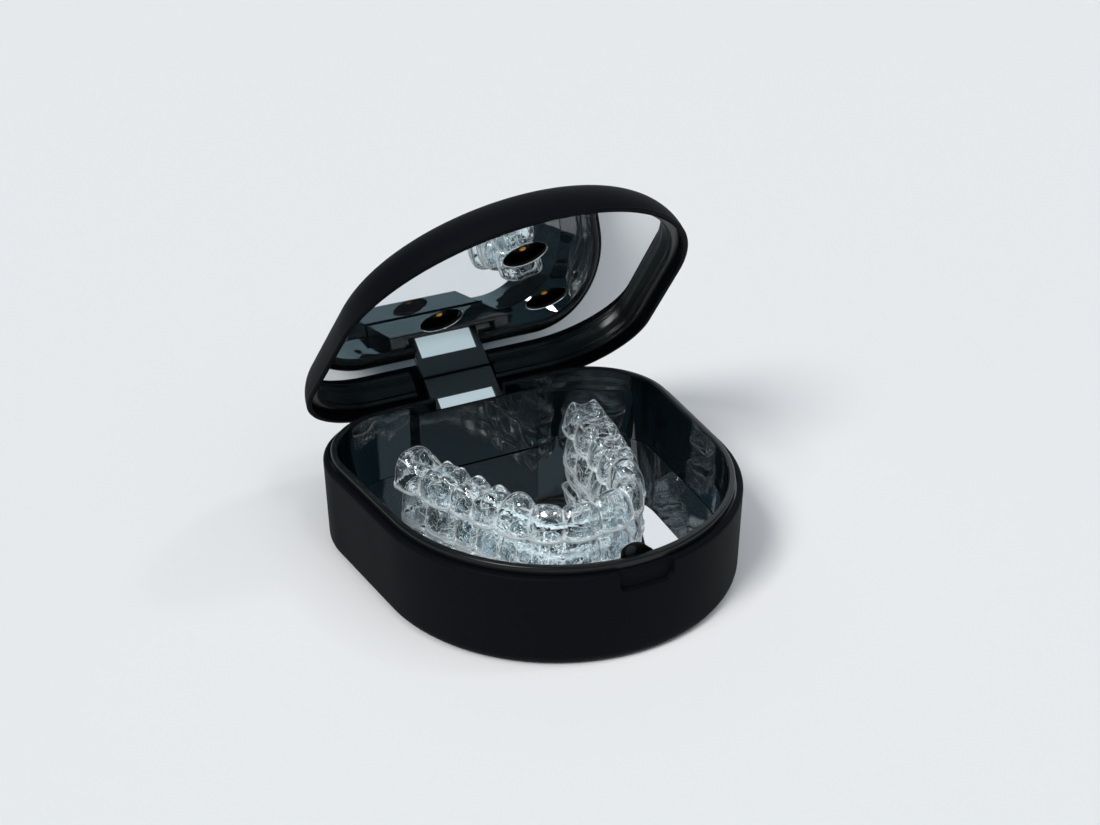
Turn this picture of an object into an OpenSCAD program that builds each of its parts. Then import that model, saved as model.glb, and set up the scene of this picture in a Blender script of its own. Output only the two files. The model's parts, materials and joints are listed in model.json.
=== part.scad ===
// Aligner case with a mirrored lid on an arm hinge, and two clear trays inside
// Units are millimetres. X runs along the hinge, Y points to the hinge side, Z is up.
// The underside of the base rests on Z = 0, with the origin at the middle of the outline.

/* [Outline] */
// Radius of the two rear corners
corner_r = 21.5; // [18:0.5:26]
// Inward lean of the straight sides towards the front, in degrees
side_lean = 4.8; // [2:0.2:8]
// Length of the straight sides
side_len = 25.9; // [20:0.1:32]
// Radius of the round front
front_r = 42; // [38:0.5:46]

/* [Base] */
// Height of the base shell up to its rim
base_h = 22; // [21:0.5:26]
// Inward lean of the shell wall from rim to underside
base_draft = 0.3; // [0.1:0.1:0.6]
// Radius of the edge round the underside
base_round = 3; // [2:0.5:3.5]
// Wall of the base shell
shell_t = 1.4; // [1.2:0.1:1.6]
// Thickness of the shell's bottom
bottom_t = 1.2; // [1:0.1:1.4]
// Rounding of the shell's outer rim edge
rim_round = 0.8; // [0.5:0.1:0.9]
// Height of the liner's lip above the shell rim
lip_h = 1.7; // [1:0.1:1.8]
// Distance of the lip's outer face from the outline
lip_in = 1.8; // [1.7:0.1:2]
// Distance of the liner's inner wall from the outline
liner_in = 3.4; // [3.2:0.1:3.5]
// Height of the floor mirror's top face
floor_z = 5.8; // [5.6:0.1:6.4]
// Thickness of the floor mirror
floor_mirror_t = 0.8; // [0.6:0.1:1]
// Thickness of the liner's floor pan
pan_t = 0.9; // [0.8:0.1:1]
// Width of the thumb notch under the front rim
notch_w = 12.6; // [8:0.2:18]
// Height of the thumb notch
notch_h = 4.6; // [4:0.2:8]
// Depth of the thumb notch
notch_t = 1; // [0.4:0.1:1]
// Rounding of the thumb notch's lower corners
notch_round = 1.6; // [0.8:0.1:2]
// Width of the latch tongue
tongue_w = 5.8; // [4:0.2:8]
// Height of the latch tongue above the shell rim
tongue_h = 3.6; // [2:0.1:3.8]
// Sideways place of the latch tongue
tongue_side = -1.1; // [-2:0.1:2]
// Thickness of the latch tongue's tip
tongue_t = 0.9; // [0.7:0.1:1.1]
// Depth of the latch tongue's lower end below the shell rim
tongue_drop = 6; // [5:0.2:8]
// Depth below the shell rim at which the latch tongue leaves the liner
tongue_free = 2; // [1.6:0.1:3]

/* [Lid] */
// Gap between the two rims when the lid is closed
rim_gap = 0.4; // [0.4:0.1:0.8]
// Height of the lid, and radius of its rounded edge
lid_h = 11; // [10.5:0.1:11.5]
// Wall of the lid shell
lid_wall = 1.2; // [1:0.1:1.3]
// Depth of the mirror's face behind the lid rim
mirror_depth = 5.5; // [5.2:0.1:5.6]
// Thickness of the lid mirror
mirror_t = 1; // [0.8:0.1:1]
// Depth of the recess that takes the base's lip
recess_depth = 2.1; // [2:0.1:2.4]
// Diameter of the three holes in the lid mirror
hole_d = 10; // [7:0.5:11]
// Half the spacing of the two rear holes
hole_x = 13.3; // [12:0.1:15]
// Distance of the two rear holes from the back
hole_rear = 36.8; // [36:0.2:42]
// Distance of the front hole from the back
hole_front = 61.7; // [56:0.2:63]
// Radius of the posts that carry the light board
post_r = 2; // [1.5:0.1:2.4]

/* [Hinge] */
// Lid opening as shown, in degrees from closed
open_angle = 50.5; // [0:0.5:90]
// Distance of the hinge axis from the back face
hinge_in = 2.5; // [2.4:0.1:2.7]
// Depth of the hinge axis below the shell rim
hinge_drop = 4.7; // [4.4:0.1:5]
// Diameter of the hinge pin
pin_d = 2.4; // [2:0.1:2.6]
// Running clearance of the pin in the arm, on the radius
pin_fit = 0.05; // [0.03:0.01:0.08]
// Radius of the arm's knuckles
knuckle_r = 2.2; // [2:0.05:2.3]
// Width of the hinge arm
arm_w = 17.8; // [14:0.2:18]
// Width of the arm's window
window_w = 14.8; // [8:0.2:15]
// Thickness of the arm's plate
arm_t = 1.8; // [1.6:0.1:1.8]
// Sideways place of the arm
arm_side = -0.8; // [-1:0.1:0]
// Room left of the arm in the lid's frame and mirror
room_left = 2.5; // [0.2:0.1:2.6]
// Room right of the arm in the lid's frame and mirror
room_right = 1; // [0.2:0.1:2.6]
// Width of the hinge box across the back of the base
box_w = 31.8; // [30:0.2:36]
// Distance of the hinge box's front panel from the back
box_in = 6.5; // [6.4:0.1:8]
// Height of the hinge box above the shell rim
box_rise = 0.2; // [-0.6:0.1:0.2]
// Width of the pocket in the hinge box
pocket_w = 24; // [23:0.2:25]
// Thickness of the hinge box's front panel
panel_t = 1.2; // [1:0.1:1.2]
// Depth of the swing slot in the back wall
slot_drop = 7.5; // [7.4:0.1:9]
// Thickness of the arm's foot behind the lid mirror
foot_plate_t = 1.1; // [0.9:0.1:1.2]
// Reach of the arm's foot from the back
foot_far = 13; // [10:0.5:16]

/* [Electrics] */
// Size of the square light packages
led_w = 3.5; // [2.5:0.1:5]
// Height of a light package
led_h = 1; // [0.8:0.1:1.2]
// Height of the lens on a light package
lens_t = 0.3; // [0.2:0.1:0.5]
// Distance of the light packages' face behind the mirror's face
led_recess = 1.6; // [1.5:0.1:1.8]
// Thickness of the circuit boards
board_t = 0.8; // [0.6:0.1:0.8]
// Thickness of the flat cable
cable_t = 0.4; // [0.3:0.05:0.4]
// Width of the light board
led_board_w = 40; // [38:0.5:44]
// Distance of the light board's rear edge from the back
board_rear = 31; // [28:0.5:32]
// Distance of the light board's front edge from the back
board_front = 68; // [66:0.5:72]
// Thickness of the flat battery cell
cell_t = 2.5; // [1.8:0.1:2.6]
// Width of the battery cell
cell_w = 46; // [30:1:56]
// Length of the battery cell
cell_l = 36; // [24:1:44]
// Distance of the battery cell from the back
cell_rear = 24; // [16:1:30]
// Width of the control board
control_w = 22; // [16:0.5:22.5]
// Height of the control board
control_h = 8.5; // [7:0.1:8.8]
// Width of the charging socket
socket_w = 7.6; // [6:0.1:9]
// Height of the charging socket
socket_h = 2.6; // [2.2:0.1:3]
// Height of the charging socket's middle
socket_z = 8.3; // [7.6:0.1:9]
// Wall of the charging socket
socket_t = 0.4; // [0.3:0.05:0.5]

/* [Trays] */
// Length of one half of the upper tray's arch, at the middle of its channel
arch_len = 53.9; // [50:0.1:56]
// Angle at which the arms of the arch run back, in degrees from straight across
arm_angle = 74.5; // [72:0.5:80]
// Share of the arch that its round front takes
arch_front = 0.23; // [0.2:0.01:0.28]
// Size of the lower tray against the upper one
lower_scale = 0.97; // [0.94:0.01:1]
// Height of the upper tray
upper_h = 8; // [7:0.1:8.4]
// Height of the lower tray
lower_h = 8.8; // [8.4:0.1:9]
// Thickness of the tray sheet
sheet_t = 0.7; // [0.5:0.05:0.8]
// Half the width of a tray's channel at the front teeth
front_wide = 3.7; // [3.2:0.1:4.2]
// Extra half width of the channel at the last teeth
back_wide = 1.6; // [1:0.1:2]
// Distance of the trays' front from the back of the case
tray_front = 57.8; // [56:0.2:64]
// Sideways place of the trays' front
tray_side = 4.1; // [0:0.1:5]
// Turn of the trays in the case, in degrees
tray_turn = 5.5; // [0:0.5:6]

/* [Hidden] */
$fn = 96;

// Half the straight back, and the centre of the round front
back_half = (front_r - corner_r) * cos(side_lean) + side_len * sin(side_lean);
front_cy = -corner_r - side_len * cos(side_lean) + (front_r - corner_r) * sin(side_lean);
depth = front_r - front_cy;
back_y = depth / 2;

// Overlap of fused shapes and cutters, and the clearances between fixed pieces
lap = 1;
slack = 0.05;
edge_gap = 0.1;
cut_gap = 0.2;
bush_gap = 0.3;
mirror_gap = 0.4;

// Steps of the round stretches
corner_steps = 12;
front_steps = 20;
round_steps = 5;
small_steps = 3;
dome_steps = 12;

// Base: floor pan, liner and latch
pan_top = floor_z - floor_mirror_t;
pan_bottom = pan_top - pan_t;
inner_round = base_round - bottom_t;
liner_out = shell_t + slack;
liner_foot = bottom_t + base_round;
liner_draft = 0.3;
foot_in = shell_t + inner_round + edge_gap;
foot_t = 0.8;
foot_bend = 1;
lip_top = base_h + lip_h;
lip_round = 0.4;
tongue_low = base_h - tongue_drop;
tongue_root = base_h - tongue_free;
tongue_top = base_h + tongue_h;

// Lid: dome, frame ring and mirror
lid_z = base_h + rim_gap;
dome_r = lid_h - lid_wall;
mirror_z = lid_z + mirror_depth;
mirror_back = mirror_z + mirror_t;
ring_r = dome_r - 2 * slack;
ring_top_in = 3.3;
ring_foot_in = 4.1;
ring_seat = 0.35;
mirror_in = ring_foot_in - ring_seat;

// Hinge: arm, pin and box
hinge_z = base_h - hinge_drop;
slot_z = base_h - slot_drop;
box_top = base_h + box_rise;
arm_front = hinge_in + knuckle_r;
arm_back = arm_front - arm_t;
window_rise = 0.1;
window_top = lid_z + window_rise;
panel_back = box_in - panel_t;
pin_seat = 2.5;
pin_left = pocket_w / 2 + pin_seat;
pin_hole_fit = 0.02;

// Electrics: boards, packages and cable
board_z = mirror_z + led_recess + led_h;
post_in = 4;
lens_share = 0.75;
cable_in = hinge_in + pin_d / 2 + edge_gap;
plug_l = 2;
plug_far = board_rear + plug_l + 1;

// Trays
tray_gap = 0.1;
tray_nest = lower_h / 8;
lower_z = floor_z + tray_gap;
upper_z = lower_z + lower_h - tray_nest;

// Widths of the teeth along one half of the arch, front to back
tooth_w = [8.4, 6.8, 7.6, 6.9, 6.7, 10, 9.4];
tooth_steps = 4;
teeth = len(tooth_w);

// Points of an arc between two angles, for profiles and outlines
function arc(centre, radius, from, to, steps) =
    [for (i = [0 : steps])
        let(turn = from + (to - from) * i / steps) centre + radius * [cos(turn), sin(turn)]];

// Points on the other side of X = 0, from the last but one, which shares the middle, to the first
function mirrored(points) = [for (i = [len(points) - 2 : -1 : 0]) [-points[i][0], points[i][1]]];

// Points of the case's outline, moved in by a distance
function outline(inset) =
    let(corner = [back_half, -corner_r],
        turn_r = corner_r - inset,
        side_start = corner + turn_r * [cos(side_lean), -sin(side_lean)],
        right = concat(arc(corner, turn_r, 90, 0, corner_steps), [side_start],
                       arc([0, front_cy], front_r - inset, -side_lean, -90, front_steps)))
    concat(right, mirrored(right));

// Plate with the case's outline between two heights
module slab(inset, low, high) {
    translate([0, 0, low]) linear_extrude(high - low) polygon(outline(inset));
}

// Body that carries a profile round the outline; a profile point is [distance in from the outline, height].
// A cup closes its first point with a face that looks down, and its last with one that looks up.
module carry(profile, cup) {
    n = len(outline(0));
    k = len(profile);
    points = [for (p = profile) for (q = outline(p[0])) [q[0], q[1], p[1]]];
    walls = [for (i = [0 : (cup ? k - 2 : k - 1)]) for (j = [0 : n - 1])
        let(next = (i + 1) % k, side = (j + 1) % n)
        [i * n + j, i * n + side, next * n + side, next * n + j]];
    caps = cup ? [[for (j = [n - 1 : -1 : 0]) j], [for (j = [0 : n - 1]) (k - 1) * n + j]] : [];
    polyhedron(points = points, faces = concat(walls, caps));
}

// Part of the front arc with the same profile, a given angle wide
module front_sector(angle) {
    translate([0, front_cy, 0]) rotate([0, 0, -90 - angle / 2])
        rotate_extrude(angle = angle) translate([front_r, 0]) mirror([1, 0]) children();
}

// Box from its middle in X, distances in from the back, and heights
module block(width, near_in, far_in, low, high) {
    translate([-width / 2, -far_in, low]) cube([width, far_in - near_in, high - low]);
}

// Round bar along X on the hinge axis
module axis_bar(radius, from_x, to_x) {
    translate([from_x, -hinge_in, hinge_z]) rotate([0, 90, 0]) cylinder(r = radius, h = to_x - from_x);
}

// Moves a base piece to the frame
module base_place() {
    translate([0, back_y, 0]) children();
}

// Moves a lid piece from closed to its opening angle
module lid_place() {
    translate([0, back_y - hinge_in, hinge_z]) rotate([-open_angle, 0, 0])
        translate([0, hinge_in, -hinge_z]) children();
}

// Shell wall from the underside over the rim and down to the inside of the bottom
base_shell_profile = concat(
    arc([base_draft + base_round, base_round], base_round, 270, 180, round_steps),
    arc([rim_round, base_h - rim_round], rim_round, 180, 90, small_steps),
    [[shell_t, base_h]],
    arc([shell_t + inner_round, bottom_t + inner_round], inner_round, 180, 270, small_steps));

// Cutter of the thumb notch: a plate with two round corners, short of the round front
module thumb_notch() {
    corner_x = notch_w / 2 - notch_round;
    difference() {
        translate([0, front_cy, base_h - notch_h]) rotate([90, 0, 0]) linear_extrude(front_r + lap) {
            translate([-notch_w / 2, notch_round]) square([notch_w, notch_h + lap]);
            translate([-corner_x, 0]) square([2 * corner_x, notch_h]);
            for (side = [-1, 1]) translate([side * corner_x, notch_round]) circle(notch_round);
        }
        translate([0, front_cy, 0]) cylinder(r = front_r - notch_t, h = 2 * base_h);
    }
}

module base_shell() {
    color([0.11, 0.12, 0.14]) base_place() difference() {
        carry(base_shell_profile, true);
        block(pocket_w, -lap, shell_t + lap, slot_z, base_h + lap);
        axis_bar(pin_d / 2 + edge_gap, -pin_left - cut_gap, box_w / 2 + cut_gap);
        thumb_notch();
        block(socket_w + 2 * cut_gap, -lap, shell_t + lap,
              socket_z - socket_h / 2 - cut_gap, socket_z + socket_h / 2 + cut_gap);
    }
}

// Liner from the underside of its pan, down its foot, up the outside, over the lip and down to the pan
base_liner_profile = [
    [foot_in + foot_t, pan_bottom], [foot_in + foot_t, bottom_t], [foot_in, bottom_t],
    [foot_in, liner_foot - foot_bend], [liner_out, liner_foot], [liner_out, base_h], [lip_in, base_h],
    [lip_in, lip_top - lip_round], [lip_in + lip_round, lip_top], [liner_in - lip_round, lip_top],
    [liner_in, lip_top - lip_round], [liner_in, base_h / 2], [liner_in + liner_draft, pan_top]];

module base_liner() {
    color([0.05, 0.08, 0.09]) base_place() difference() {
        union() {
            carry(base_liner_profile, true);
            block(box_w, liner_in - lap / 2, box_in, pan_bottom + pan_t / 2, box_top);
        }
        block(pocket_w, -lap, panel_back, pan_top, lip_top + lap);
        axis_bar(pin_d / 2, -pin_left, box_w / 2 + lap);
    }
}

module floor_mirror() {
    mirror_edge = liner_in + mirror_gap;
    color([0.75, 0.78, 0.8]) base_place() difference() {
        slab(mirror_edge, pan_top, floor_z);
        block(box_w + 2 * edge_gap, 0, box_in + edge_gap, 0, base_h);
    }
}

module latch_tongue() {
    sector = 20;
    root_in = liner_in + edge_gap;
    tip_in = liner_in + mirror_gap;
    tongue_in = tip_in + tongue_t;
    color([0.06, 0.07, 0.08]) base_place() intersection() {
        front_sector(sector) polygon([[root_in, tongue_low], [tongue_in, tongue_low], [tongue_in, tongue_top],
                                      [tip_in, tongue_top], [tip_in, tongue_root], [root_in, tongue_root]]);
        translate([tongue_side, 0, 0]) rotate([90, 0, 0]) linear_extrude(2 * depth) {
            translate([0, tongue_top - tongue_w / 2]) circle(d = tongue_w);
            translate([-tongue_w / 2, tongue_low - lap])
                square([tongue_w, tongue_top - tongue_w / 2 - tongue_low + lap]);
        }
    }
}

module hinge_pin() {
    color([0.7, 0.7, 0.72]) base_place() axis_bar(pin_d / 2, -pin_left, box_w / 2);
}

module hinge_bush(side) {
    bush_near = arm_w / 2 + (1 - 2 * side) * arm_side + bush_gap;
    color([0.85, 0.85, 0.82]) base_place() mirror([side, 0, 0]) difference() {
        axis_bar(knuckle_r, bush_near, pocket_w / 2);
        axis_bar(pin_d / 2 + pin_hole_fit, bush_near - lap, pocket_w / 2 + lap);
    }
}

module hinge_bush_left() {
    hinge_bush(1);
}

module hinge_bush_right() {
    hinge_bush(0);
}

module battery() {
    color([0.7, 0.72, 0.74]) base_place()
        block(cell_w, cell_rear, cell_rear + cell_l, bottom_t, bottom_t + cell_t);
}

module control_board() {
    color([0.05, 0.3, 0.15]) base_place()
        block(control_w, panel_back - board_t, panel_back, pan_top, pan_top + control_h);
}

module charge_socket() {
    socket_face = 0.3;
    contact_t = 0.6;
    inner_back = panel_back - board_t - socket_t;
    color([0.72, 0.72, 0.74]) base_place() {
        difference() {
            block(socket_w, socket_face, panel_back - board_t,
                  socket_z - socket_h / 2, socket_z + socket_h / 2);
            block(socket_w - 2 * socket_t, socket_face - lap, inner_back,
                  socket_z - socket_h / 2 + socket_t, socket_z + socket_h / 2 - socket_t);
        }
        block(socket_w - 4 * socket_t, socket_face + socket_t, inner_back + socket_t / 2,
              socket_z - contact_t / 2, socket_z + contact_t / 2);
    }
}

// Dome from the ceiling down its inside to the rim, and up its outside
lid_shell_profile = concat(
    arc([lid_h, 0], dome_r, 90, 180, dome_steps),
    arc([lid_h, 0], lid_h, 180, 90, dome_steps));

module lid_shell() {
    color([0.11, 0.12, 0.14]) lid_place() {
        translate([0, 0, lid_z]) carry(lid_shell_profile, true);
        for (side = [-1, 1]) for (inward = [board_rear + post_in, board_front - post_in])
            translate([side * (led_board_w / 2 - post_in), -inward, board_z + board_t])
                cylinder(r = post_r, h = lid_z + dome_r - board_z - board_t + lap / 2);
    }
}

// Frame ring from its foot up along the dome, in over the mirror's face and down its inner wall
lid_liner_profile = concat(
    arc([lid_h, 0], ring_r, 180 - asin(recess_depth / ring_r), 180 - asin(mirror_depth / ring_r),
        small_steps),
    [[ring_foot_in, mirror_depth], [ring_top_in, recess_depth]]);

// Cutter round the arm, with room on both sides
module arm_room(far_in, high) {
    translate([arm_side + (room_right - room_left) / 2, 0, 0])
        block(arm_w + room_left + room_right, -lap, far_in, 0, high);
}

module lid_liner() {
    color([0.05, 0.06, 0.07]) lid_place() difference() {
        translate([0, 0, lid_z]) carry(lid_liner_profile, false);
        arm_room(arm_front + lap, mirror_z + lap);
    }
}

// Places of the holes and their light packages: [sideways, distance from the back]
light_places = [[-hole_x, hole_rear], [hole_x, hole_rear], [0, hole_front]];

module lid_mirror() {
    color([0.75, 0.78, 0.8]) lid_place() difference() {
        slab(mirror_in, mirror_z, mirror_back);
        arm_room(arm_front + cut_gap, mirror_back + lap);
        for (at = light_places) translate([at[0], -at[1], mirror_z - lap])
            cylinder(d = hole_d, h = mirror_t + 2 * lap);
    }
}

// Distance in from the outline of the lid shell's inner face at a height over the rim, with a small gap
function dome_in(height) = lid_h + 2 * slack - sqrt(dome_r * dome_r - height * height);

// Plate of a width from its side view: [distance in from the back, height over the lid rim]
module side_plate(width) {
    translate([-width / 2, 0, lid_z]) rotate([90, 0, 90]) linear_extrude(width) mirror([1, 0]) children();
}

// Side view of the arm: plate, knee against the dome, and foot behind the mirror
module arm_side() {
    small_chamfer = 0.3;
    knee = mirror_depth - edge_gap;
    foot_low = mirror_depth + mirror_t;
    foot_top = foot_low + foot_plate_t;
    shoulder = foot_top - small_chamfer;
    polygon([[arm_front, hinge_z - lid_z], [arm_front, foot_low], [foot_far, foot_low], [foot_far, foot_top],
             [dome_in(foot_top) + small_chamfer, foot_top], [dome_in(shoulder), shoulder],
             [dome_in(foot_low), foot_low], [dome_in(knee), knee], [arm_back, knee - small_chamfer],
             [arm_back, hinge_z - lid_z]]);
}

module hinge_arm() {
    cable_way = window_w + cut_gap;
    cable_top = mirror_back + cable_t + edge_gap;
    color([0.07, 0.08, 0.09]) lid_place() translate([arm_side, 0, 0]) difference() {
        union() {
            side_plate(arm_w) arm_side();
            axis_bar(knuckle_r, -arm_w / 2, arm_w / 2);
        }
        block(window_w, 0, arm_front + lap, hinge_z - knuckle_r - lap, window_top);
        block(cable_way, cable_in - slack, cable_in + cable_t + slack, window_top - lap, cable_top);
        block(cable_way, cable_in - slack, foot_far + lap, mirror_back - slack, cable_top);
        axis_bar(pin_d / 2 + pin_fit, -arm_w, arm_w);
    }
}

// Side view of the cable: up through the window, folded short of the dome, and along the mirror's back
module cable_side() {
    fold = 0.5;
    cable_low = hinge_z - pin_d / 4 - lid_z;
    run_low = mirror_depth + mirror_t;
    run_top = run_low + cable_t;
    polygon([[cable_in, cable_low], [cable_in + cable_t, cable_low], [cable_in + cable_t, run_low],
             [plug_far, run_low], [plug_far, run_top], [dome_in(run_top), run_top],
             [cable_in, run_top - fold]]);
}

module lid_cable() {
    cable_w = window_w - cut_gap;
    plug_w = window_w - plug_l;
    color([0.78, 0.86, 0.9]) lid_place() translate([arm_side, 0, 0]) {
        side_plate(cable_w) cable_side();
        block(plug_w, plug_far - plug_l, plug_far, mirror_back, board_z);
    }
}

module led_board() {
    color([0.9, 0.9, 0.88]) lid_place()
        block(led_board_w, board_rear, board_front, board_z, board_z + board_t);
}

// Light package with a round lens, at a place of the list
module uv_led(at) {
    face_z = board_z - led_h;
    color([0.85, 0.65, 0.25]) lid_place() translate([at[0], -at[1], 0]) {
        translate([-led_w / 2, -led_w / 2, face_z + lens_t]) cube([led_w, led_w, led_h - lens_t]);
        translate([0, 0, face_z]) cylinder(d = led_w * lens_share, h = led_h - lens_t / 2);
    }
}

module uv_led_left() {
    uv_led(light_places[0]);
}

module uv_led_right() {
    uv_led(light_places[1]);
}

module uv_led_front() {
    uv_led(light_places[2]);
}

// The arch starts straight across at the front and turns to the run of its arms.
// A place u along it runs from -1 at one end to 1 at the other.
arch_steps = 60;
arch_nudge = 0.02;
function arch_turn(u) = arm_angle * (1 - exp(-pow(u / arch_front, 2)));
function arch_step(i) =
    let(turn = arch_turn((i + 0.5) / arch_steps)) [cos(turn), sin(turn)] * arch_len / arch_steps;
arch_path = [for (i = 0, at = [0, 0]; i <= arch_steps; at = at + arch_step(i), i = i + 1) at];
function arch_axis(k) = [for (i = [0 : arch_steps]) [i / arch_steps, arch_path[i][k]]];
function arch_point(u) = [sign(u) * lookup(abs(u), arch_axis(0)), lookup(abs(u), arch_axis(1))];
function arch_dir(u) = arch_point(u + arch_nudge) - arch_point(u - arch_nudge);
function arch_out(u) = let(d = arch_dir(u)) [d[1], -d[0]] / norm(d);

// Sum of the first tooth widths, and the tooth ends as places along the arch
function width_sum(n) = n == 0 ? 0 : width_sum(n - 1) + tooth_w[n - 1];
function tooth_end(n) = width_sum(n) / width_sum(teeth);

// Sections of the tray sheet: [distance out from the arch line, height], from trim edge to trim edge.
// A tooth is widest and highest at its middle, with a waist between neighbours and a pit in its top.
waist = 0.86;
dip = 0.82;
edge_half = 1;
chew_half = 3;
pit_depth = 0.7;
function section(u, swell, height, off) =
    let(back = pow(abs(u), 1.5),
        wide = (front_wide + back_wide * back) * (waist + (1 - waist) * swell) - off,
        top = max(0.3, edge_half + chew_half * back - off),
        high = height * (dip + (1 - dip) * swell) - off,
        pit = high - pit_depth * back)
    [[wide, 0], [wide, 0.4 * high], [0.9 * wide, 0.75 * high], [0.7 * top, high], [0, pit],
     [-0.7 * top, high], [-0.9 * wide, 0.75 * high], [-wide, 0.4 * high], [-wide, 0]];

// Inner side of a closed end: the section's trim line from edge to edge
function closed(points) = [for (p = points) [p[0], 0]];

function rev(list) = [for (i = [len(list) - 1 : -1 : 0]) list[i]];

// One cross-section loop of the sheet in space
function tray_loop(u, swell, height, is_end) =
    let(outer = section(u, swell, height, 0),
        inner = is_end ? closed(outer) : section(u, swell, height, sheet_t),
        base = arch_point(u),
        out = arch_out(u))
    [for (p = concat(outer, rev(inner))) [base[0] + out[0] * p[0], base[1] + out[1] * p[0], p[1]]];

// Places along the arch: an end wall, then every tooth in equal steps, mirrored
half_places = [for (n = [0 : teeth - 1]) for (k = [0 : tooth_steps - 1])
    [tooth_end(n) + (tooth_end(n + 1) - tooth_end(n)) * k / tooth_steps, sin(180 * k / tooth_steps)]];
end_swell = 0.55;
end_wall = 0.985;
right_places = concat(half_places, [[end_wall, end_swell]]);
left_places = [for (i = [len(right_places) - 1 : -1 : 1]) [-right_places[i][0], right_places[i][1]]];
places = concat(left_places, right_places);

module tray(height) {
    loops = concat([tray_loop(-1, end_swell, height, true)],
                   [for (p = places) tray_loop(p[0], sqrt(p[1]), height, false)],
                   [tray_loop(1, end_swell, height, true)]);
    m = len(loops[0]);
    last = len(loops) - 1;
    points = [for (loop = loops) for (p = loop) p];
    walls = [for (i = [0 : last - 1]) for (j = [0 : m - 1])
        let(a = i * m + j, b = i * m + (j + 1) % m)
        each [[a, b, b + m], [a, b + m, a + m]]];
    half = m / 2;
    far = last * m;
    caps = [for (j = [0 : half - 2])
        let(a = j, b = j + 1, c = m - 2 - j, d = m - 1 - j)
        each [[d, b, a], [d, c, b], [far + a, far + b, far + d], [far + b, far + c, far + d]]];
    polyhedron(points = points, faces = concat(walls, caps));
}

module tray_place(low, size) {
    translate([tray_side, back_y - tray_front, low]) rotate([0, 0, tray_turn])
        scale([size, size, 1]) children();
}

module lower_tray() {
    color([0.85, 0.93, 0.95]) tray_place(lower_z, lower_scale) tray(lower_h);
}

module upper_tray() {
    color([0.85, 0.93, 0.95]) tray_place(upper_z, 1) tray(upper_h);
}

base_shell();
base_liner();
floor_mirror();
latch_tongue();
hinge_pin();
hinge_bush_left();
hinge_bush_right();
battery();
control_board();
charge_socket();
lid_shell();
lid_liner();
lid_mirror();
hinge_arm();
lid_cable();
led_board();
uv_led_left();
uv_led_right();
uv_led_front();
lower_tray();
upper_tray();
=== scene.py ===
import json
import math
from collections import namedtuple

import bmesh
import bpy
from bmesh.types import BMEdge, BMVert
from mathutils import Matrix, Vector, noise


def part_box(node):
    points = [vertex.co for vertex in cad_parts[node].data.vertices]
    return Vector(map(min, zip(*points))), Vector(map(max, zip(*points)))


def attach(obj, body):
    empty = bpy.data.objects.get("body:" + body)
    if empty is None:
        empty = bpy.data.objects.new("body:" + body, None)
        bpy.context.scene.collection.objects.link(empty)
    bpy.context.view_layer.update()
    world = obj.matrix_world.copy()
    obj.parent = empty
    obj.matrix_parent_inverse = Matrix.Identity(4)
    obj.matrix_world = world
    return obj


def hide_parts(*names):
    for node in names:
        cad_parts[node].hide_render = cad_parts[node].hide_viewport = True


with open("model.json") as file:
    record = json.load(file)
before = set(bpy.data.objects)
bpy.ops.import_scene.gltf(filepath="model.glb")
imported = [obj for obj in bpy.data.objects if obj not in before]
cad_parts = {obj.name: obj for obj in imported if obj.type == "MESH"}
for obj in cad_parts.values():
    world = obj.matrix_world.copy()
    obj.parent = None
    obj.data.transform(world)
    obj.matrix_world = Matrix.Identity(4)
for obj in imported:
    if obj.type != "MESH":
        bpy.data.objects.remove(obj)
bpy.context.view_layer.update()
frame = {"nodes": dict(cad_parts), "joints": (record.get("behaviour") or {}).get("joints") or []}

bl_info = {
    "name": "Aligner case",
    "version": (1, 0, 0),
    "blender": (4, 5, 0),
    "location": "3D View > Sidebar > Aligner case",
    "description": "Models a mirror-lined aligner case with two clear trays round its solid frame",
    "category": "Object",
}

MM = 0.001
SAME_POINT = MM / 1000
QUARTER_TURN = math.radians(90)
SHARP_EDGE = math.radians(40)
PETG_INDEX = 1.57
hinge = next(joint for joint in frame["joints"] if joint["name"] == "lid_hinge")
base_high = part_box("base_shell")[1]
liner_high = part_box("base_liner")[1]
mirror_low, mirror_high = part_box("floor_mirror")
lights = ("uv_led_left", "uv_led_right", "uv_led_front")
Tooth = namedtuple("Tooth", "width half_depth height boxiness cusps_across cusps_along")


# Properties

def length(name, about, size_mm):
    """A length property whose default is given in millimetres."""
    return bpy.props.FloatProperty(
        name=name, description=about, default=size_mm * MM, unit="LENGTH", precision=5)


def angle(name, about, degrees):
    """An angle property whose default is given in degrees."""
    return bpy.props.FloatProperty(
        name=name, description=about, default=math.radians(degrees), subtype="ANGLE")


def portion(name, about, value):
    """A property that is a share of a whole."""
    return bpy.props.FloatProperty(
        name=name, description=about, default=value, min=0, max=1, subtype="FACTOR")


def linear(code):
    """Linear RGB of an sRGB hex colour."""
    parts = [int(code[i:i + 2], 16) / 255 for i in (1, 3, 5)]
    return [p / 12.92 if p <= 0.04045 else ((p + 0.055) / 1.055) ** 2.4 for p in parts]


def colour(name, about, code):
    """A colour property whose default is an sRGB hex value."""
    return bpy.props.FloatVectorProperty(
        name=name, description=about, subtype="COLOR", size=3, min=0, max=1, default=linear(code))


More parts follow.
